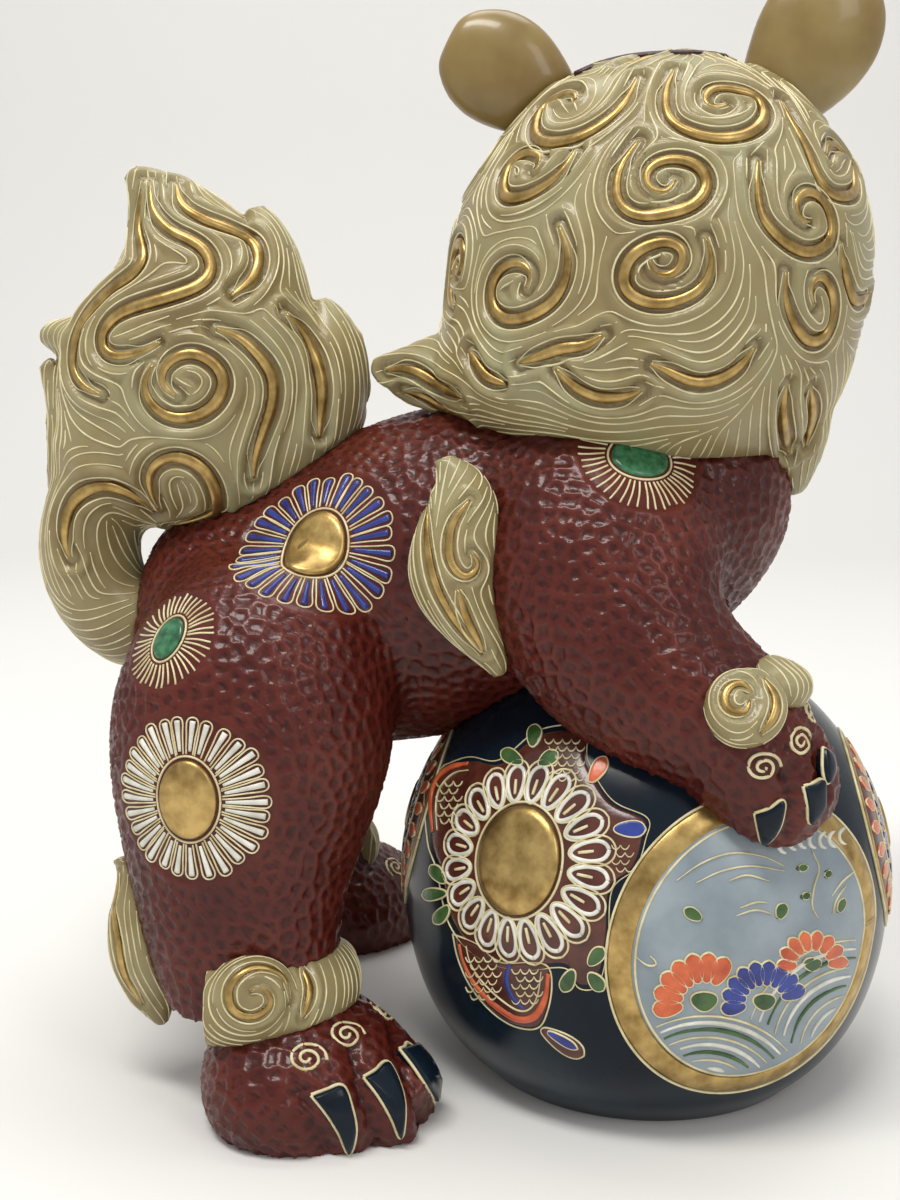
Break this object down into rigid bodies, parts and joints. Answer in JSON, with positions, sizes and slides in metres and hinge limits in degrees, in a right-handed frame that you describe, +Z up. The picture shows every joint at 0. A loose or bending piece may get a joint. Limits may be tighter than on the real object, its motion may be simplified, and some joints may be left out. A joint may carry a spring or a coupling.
{
  "type": "guardian lion statue",
  "caption": "Glazed porcelain guardian lion with curled mane and flame tail, head turned back, forepaws on a round decorated ball, standing free on its hind paws and the ball.",
  "frame": {"origin": "on the floor plane, below the middle of the whole figure's bounding box", "axes": "+X the way the body faces, towards the ball; +Y the lion's left side, where the turned head looks; +Z up"},
  "size_m": [0.2981, 0.2311, 0.3748],
  "materials": {
    "oxblood_glaze": "dark red gloss glaze with a raised pebbled net",
    "khaki_glaze": "greenish beige gloss glaze with raised cream lines and gold",
    "honey_glaze": "plain honey gloss glaze",
    "navy_glaze": "blue-black gloss glaze with raised coloured enamels",
    "ivory_enamel": "ivory gloss enamel",
    "gold_enamel": "overglaze gold",
    "vermilion_enamel": "orange-red gloss enamel"
  },
  "bodies": {
    "root": {"ankle_cuff_left": "khaki_glaze", "ankle_cuff_right": "khaki_glaze", "ball": "navy_glaze", "beard": "khaki_glaze", "brow_left": "gold_enamel", "brow_right": "gold_enamel", "ear_left": "honey_glaze", "ear_right": "honey_glaze", "eye_left": "ivory_enamel", "eye_right": "ivory_enamel", "face_mask": "oxblood_glaze", "flank_tuft_left": "khaki_glaze", "flank_tuft_right": "khaki_glaze", "fore_claws_left": "navy_glaze", "fore_claws_right": "navy_glaze", "fore_paw_left": "oxblood_glaze", "fore_paw_right": "oxblood_glaze", "foreleg_left": "oxblood_glaze", "foreleg_right": "oxblood_glaze", "haunch_left": "oxblood_glaze", "haunch_right": "oxblood_glaze", "heel_tuft_left": "khaki_glaze", "heel_tuft_right": "khaki_glaze", "hind_claws_left": "navy_glaze", "hind_claws_right": "navy_glaze", "hind_paw_left": "oxblood_glaze", "hind_paw_right": "oxblood_glaze", "lower_jaw": "oxblood_glaze", "lower_teeth": "ivory_enamel", "mane": "khaki_glaze", "nose": "gold_enamel", "tail_loop": "khaki_glaze", "tail_plume": "khaki_glaze", "tongue": "vermilion_enamel", "torso": "oxblood_glaze", "upper_teeth": "ivory_enamel", "wrist_cuff_left": "khaki_glaze", "wrist_cuff_right": "khaki_glaze"}
  },
  "joints": []
}
